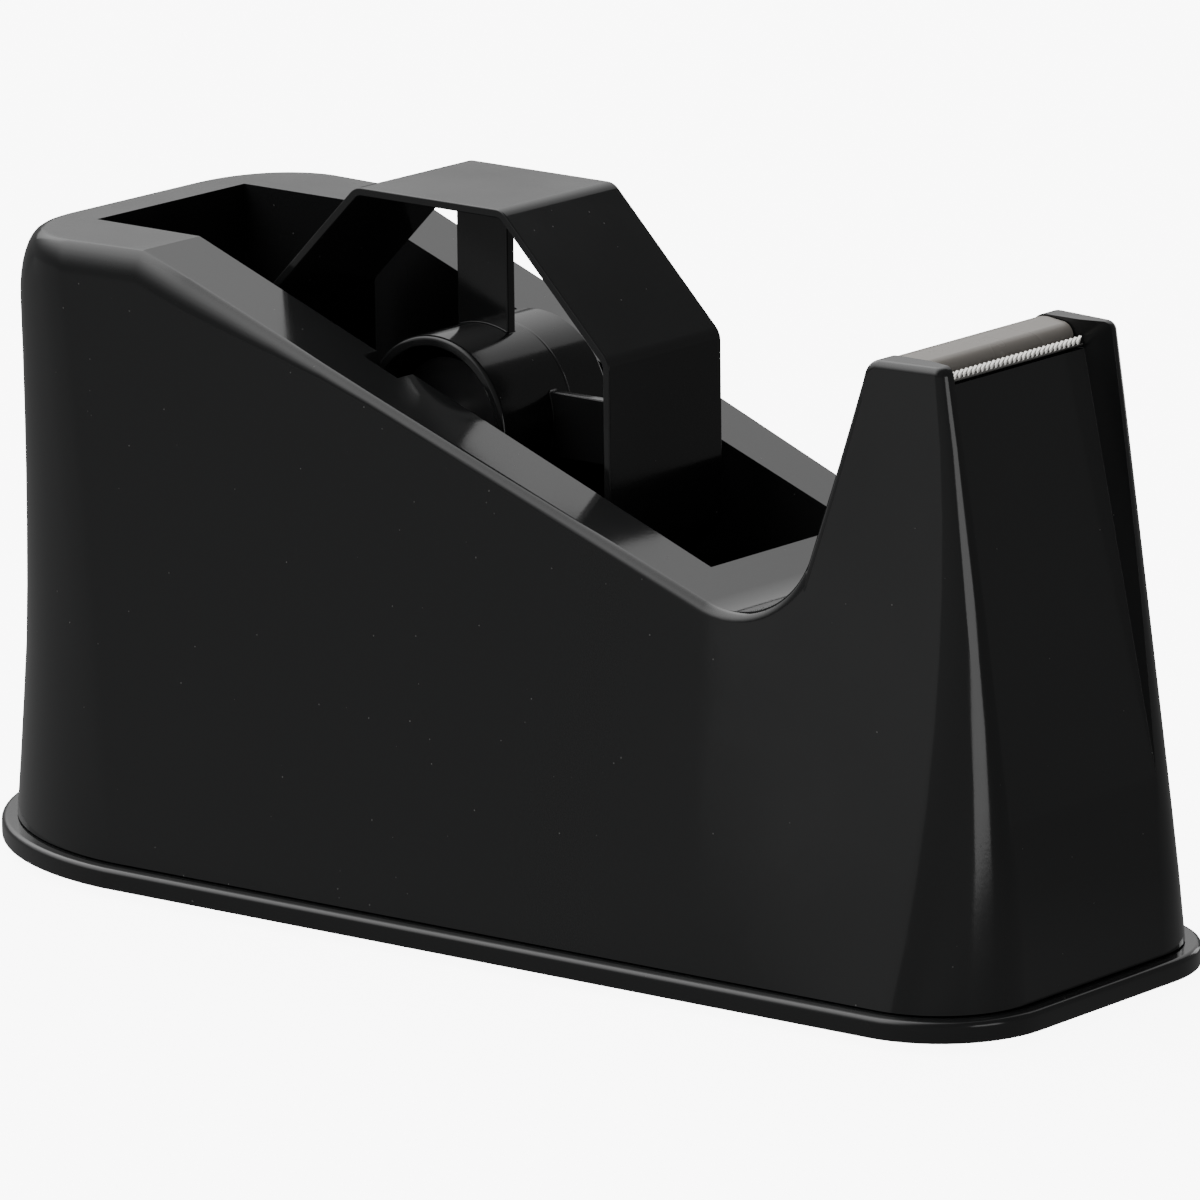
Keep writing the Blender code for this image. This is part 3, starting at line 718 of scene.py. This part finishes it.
def add_bump(nodes, links, shader, height, strength, distance):
    bump = nodes.new("ShaderNodeBump")
    bump.inputs["Strength"].default_value = strength
    bump.inputs["Distance"].default_value = distance
    links.new(height, bump.inputs["Height"])
    links.new(bump.outputs["Normal"], shader.inputs["Normal"])
    return bump


def moulded_plastic(name, colour, rough_low, rough_high):
    """Moulded plastic: slow changes in gloss, faint sink waves, a fine grain and specks of dust."""
    material, nodes, links, shader = new_material(name, colour)
    shader.inputs["IOR"].default_value = 1.5
    cloud = add_noise(nodes, links, 45.0, 4.0)
    rough = add_range(nodes, links, cloud, rough_low, rough_high)
    place = nodes.new("ShaderNodeTexCoord")
    specks = nodes.new("ShaderNodeTexVoronoi")
    specks.inputs["Scale"].default_value = SPECKS_PER_METRE
    specks.inputs["Randomness"].default_value = 1.0
    links.new(place.outputs["Object"], specks.inputs["Vector"])
    spot = add_range(nodes, links, specks.outputs["Distance"], 1.0, 0.0, *SPECK_EDGE)
    rare = add_range(nodes, links, add_noise(nodes, links, 190.0, 1.0), 0.0, 1.0, *RARITY)
    speck = add_math(nodes, links, "MULTIPLY", spot, rare)
    blend = nodes.new("ShaderNodeMix")
    blend.data_type = "RGBA"
    blend.inputs["A"].default_value = (*colour, 1.0)
    blend.inputs["B"].default_value = DUST
    links.new(speck, blend.inputs["Factor"])
    links.new(blend.outputs["Result"], shader.inputs["Base Color"])
    blend_rough = nodes.new("ShaderNodeMix")
    blend_rough.inputs["B"].default_value = DUST_ROUGHNESS
    links.new(rough, blend_rough.inputs["A"])
    links.new(speck, blend_rough.inputs["Factor"])
    links.new(blend_rough.outputs["Result"], shader.inputs["Roughness"])
    wave = add_bump(nodes, links, shader, add_noise(nodes, links, 22.0, 1.0), 1.0, WAVE_DEPTH)
    grain = nodes.new("ShaderNodeBump")
    grain.inputs["Strength"].default_value = 0.35
    grain.inputs["Distance"].default_value = GRAIN_DEPTH
    links.new(add_noise(nodes, links, 1500.0, 2.0), grain.inputs["Height"])
    links.new(grain.outputs["Normal"], wave.inputs["Normal"])
    return material


def drawn_steel(name, colour, rough_low, rough_high, stretch):
    """Bright steel with fine lines along the direction whose stretch is smallest."""
    material, nodes, links, shader = new_material(name, colour, 1.0)
    lines = add_noise(nodes, links, 900.0, 4.0, stretch)
    links.new(add_range(nodes, links, lines, rough_low, rough_high), shader.inputs["Roughness"])
    add_bump(nodes, links, shader, lines, 0.25, 0.00002)
    return material


def rough_solid(name, colour, roughness, grain, depth, metallic=0.0):
    """Cast iron, rubber or nylon: one colour with mottling and a grain."""
    material, nodes, links, shader = new_material(name, colour, metallic)
    mottle = add_noise(nodes, links, grain, 5.0)
    links.new(add_range(nodes, links, mottle, roughness - 0.08, roughness + 0.08), shader.inputs["Roughness"])
    ramp = nodes.new("ShaderNodeMix")
    ramp.data_type = "RGBA"
    ramp.inputs["A"].default_value = (*[c * 0.8 for c in colour], 1.0)
    ramp.inputs["B"].default_value = (*[c * 1.2 for c in colour], 1.0)
    links.new(mottle, ramp.inputs["Factor"])
    links.new(ramp.outputs["Result"], shader.inputs["Base Color"])
    add_bump(nodes, links, shader, mottle, 0.5, depth)
    return material


MATERIALS = {
    "housing_black": moulded_plastic("housing_plastic", BLACK, 0.09, 0.15),
    "cover_black": moulded_plastic("base_plastic", BLACK, 0.12, 0.20),
    "reel_black": moulded_plastic("reel_plastic", BLACK, 0.10, 0.17),
    "carrier_black": moulded_plastic("cap_plastic", (0.275, 0.255, 0.232), 0.26, 0.34),
    "blade_steel": drawn_steel("blade_metal", (0.43, 0.42, 0.40), 0.18, 0.28, (1.0, 0.03, 1.0)),
    "axle_steel": drawn_steel("axle_metal", (0.60, 0.60, 0.59), 0.18, 0.30, (1.0, 0.03, 1.0)),
    "screw_steel": drawn_steel("screw_metal", (0.55, 0.55, 0.54), 0.28, 0.40, (1.0, 1.0, 0.2)),
    "ballast_iron": rough_solid("ballast_metal", (0.09, 0.085, 0.08), 0.62, 700.0, 0.0002, 0.7),
    "foot_rubber": rough_solid("foot_material", (0.012, 0.012, 0.012), 0.82, 1600.0, 0.00008),
    "bush_nylon": rough_solid("bush_material", (0.015, 0.015, 0.016), 0.45, 900.0, 0.00003),
}
SLOTS = {part["node"]: part["material_slot"] for part in frame["record"]["subparts"]}
for node, item in frame["nodes"].items():
    item.data.materials.clear()
    item.data.materials.append(MATERIALS[SLOTS[node]])


# ---- pieces ---------------------------------------------------------------------------------------
def add_piece(item, body, node):
    """Gives a fine piece its CAD node's place in the assembly, and its material."""
    item.data.materials.clear()
    item.data.materials.append(MATERIALS[SLOTS[node]])
    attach(item, body)
    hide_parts(node)


housing = make_housing()
cut(housing, make_cavity())
drill_housing(housing)
tidy_mesh(housing)
finish_edges(housing, EDGE_ROUND)
add_piece(housing, "root", "housing")

base = make_base()
finish_edges(base, 0.0002, 2, 40.0)
add_piece(base, "root", "base_plate")

for foot in FEET:
    pad = make_foot(foot)
    finish_edges(pad, 0.0001, 1, 60.0)
    add_piece(pad, "root", foot)

reel = make_reel()
tidy_mesh(reel)
finish_edges(reel, 0.00025, 3, 30.0)
add_piece(reel, "reel", "reel")

cap = make_cap()
tidy_mesh(cap)
finish_edges(cap, 0.00015, 2, 30.0)
add_piece(cap, "root", "blade_carrier")

blade = make_blade()
add_piece(blade, "root", "blade")


# ---- stage ----------------------------------------------------------------------------------------
CAMERA_BACK = (-50.0, 13.83)  # azimuth and elevation of the camera as seen from the object
CAMERA_ROLL = math.radians(-0.66)
CAMERA_LENS = 313.757
CAMERA_PLACE = (0.01702, -0.02865, 1.58668)  # right, up and back from the axle
FLOOR_GLOW = 8.0  # what the camera sees, and what reflections see on the near and the far side
FLOOR_NEAR = 0.26
FLOOR_FAR = 0.14
ROOM_LOW = 0.17  # the room at the horizon and at the zenith, without the light overhead
ROOM_HIGH = 0.10
OVERHEAD = 3.4
LIGHT_AIM = (0.0, 0.0, 0.05)
SOFT_BOXES = (  # name, azimuth, elevation, distance, size, brightness
    ("rear_soft_box", 130.0, 36.0, 2.2, (3.4, 2.0), 0.62),
    ("front_soft_box", -11.0, 3.5, 0.45, (0.17, 0.155), 2.0),
    ("far_soft_box", 84.0, 6.0, 0.55, (0.14, 0.20), 2.0),
    ("side_soft_box", -103.0, 12.0, 0.45, (0.15, 0.50), 0.22),
)


def direction(azimuth, elevation):
    """A unit vector, azimuth in degrees from +X towards +Y."""
    azimuth, elevation = math.radians(azimuth), math.radians(elevation)
    level = math.cos(elevation)
    return Vector((level * math.cos(azimuth), level * math.sin(azimuth), math.sin(elevation)))


def make_camera():
    back = direction(*CAMERA_BACK)
    right = direction(CAMERA_BACK[0] + 90.0, 0.0)
    up = back.cross(right)
    turned_right = math.cos(CAMERA_ROLL) * right + math.sin(CAMERA_ROLL) * up
    turned_up = -math.sin(CAMERA_ROLL) * right + math.cos(CAMERA_ROLL) * up
    data = bpy.data.cameras.new("camera")
    data.lens = CAMERA_LENS
    data.sensor_width = 36.0
    camera = bpy.data.objects.new("camera", data)
    bpy.context.scene.collection.objects.link(camera)
    place = AXLE + CAMERA_PLACE[0] * turned_right + CAMERA_PLACE[1] * turned_up + CAMERA_PLACE[2] * back
    axes = Matrix((turned_right, turned_up, back)).transposed().to_4x4()
    camera.matrix_world = Matrix.Translation(place) @ axes
    bpy.context.scene.camera = camera


def soft_box(name, azimuth, elevation, distance, size, brightness):
    """A rectangular light that faces the object, as bright as a surface that glows by that much."""
    data = bpy.data.lights.new(name, "AREA")
    data.shape = "RECTANGLE"
    data.size, data.size_y = size
    data.energy = brightness * math.pi * size[0] * size[1]
    light = bpy.data.objects.new(name, data)
    bpy.context.scene.collection.objects.link(light)
    towards = direction(azimuth, elevation)
    light.location = Vector(LIGHT_AIM) + towards * distance
    light.rotation_euler = towards.to_track_quat("Z", "Y").to_euler()
    light.visible_camera = False


def make_floor():
    """A pale floor. The camera sees it brightly lit, and everything else sees it dimmer."""
    shape = bmesh.new()
    bmesh.ops.create_grid(shape, x_segments=1, y_segments=1, size=8.0)
    floor = from_bmesh("floor", shape)
    material = bpy.data.materials.new("floor_white")
    material.use_nodes = True
    nodes, links = material.node_tree.nodes, material.node_tree.links
    shader = nodes["Principled BSDF"]
    shader.inputs["Base Color"].default_value = (0.9, 0.9, 0.9, 1.0)
    shader.inputs["Roughness"].default_value = 0.9
    shader.inputs["Specular IOR Level"].default_value = 0.0
    shader.inputs["Emission Color"].default_value = (1.0, 1.0, 1.0, 1.0)
    shader.inputs["Emission Strength"].default_value = FLOOR_GLOW
    dim = nodes.new("ShaderNodeEmission")
    place = nodes.new("ShaderNodeTexCoord")
    split = nodes.new("ShaderNodeSeparateXYZ")
    links.new(place.outputs["Object"], split.inputs["Vector"])
    fade = add_range(nodes, links, split.outputs["Y"], FLOOR_NEAR, FLOOR_FAR, -0.15, 0.10)
    links.new(fade, dim.inputs["Strength"])
    path = nodes.new("ShaderNodeLightPath")
    choose = nodes.new("ShaderNodeMixShader")
    links.new(path.outputs["Is Camera Ray"], choose.inputs["Fac"])
    links.new(dim.outputs["Emission"], choose.inputs[1])
    links.new(shader.outputs["BSDF"], choose.inputs[2])
    links.new(choose.outputs["Shader"], nodes["Material Output"].inputs["Surface"])
    floor.data.materials.append(material)


def make_world():
    """A dim room with a broad soft light overhead that fades to the horizon, the front and the far side."""
    world = bpy.data.worlds.new("studio")
    world.use_nodes = True
    nodes, links = world.node_tree.nodes, world.node_tree.links
    nodes["Background"].inputs["Color"].default_value = (1.0, 1.0, 1.0, 1.0)
    place = nodes.new("ShaderNodeTexCoord")
    split = nodes.new("ShaderNodeSeparateXYZ")
    links.new(place.outputs["Generated"], split.inputs["Vector"])
    level = add_range(nodes, links, split.outputs["Z"], ROOM_LOW, ROOM_HIGH, 0.0, 1.0)
    glow = add_fade(nodes, links, split.outputs["Z"], 0.08, 0.85, OVERHEAD)
    for axis, start, end in (("X", 0.20, -0.45), ("Y", 0.95, 0.25)):
        share = add_fade(nodes, links, split.outputs[axis], start, end, 1.0)
        glow = add_math(nodes, links, "MULTIPLY", share, glow)
    total = add_math(nodes, links, "ADD", glow, level)
    links.new(total, nodes["Background"].inputs["Strength"])
    bpy.context.scene.world = world


make_camera()
make_floor()
make_world()
for soft_box_values in SOFT_BOXES:
    soft_box(*soft_box_values)
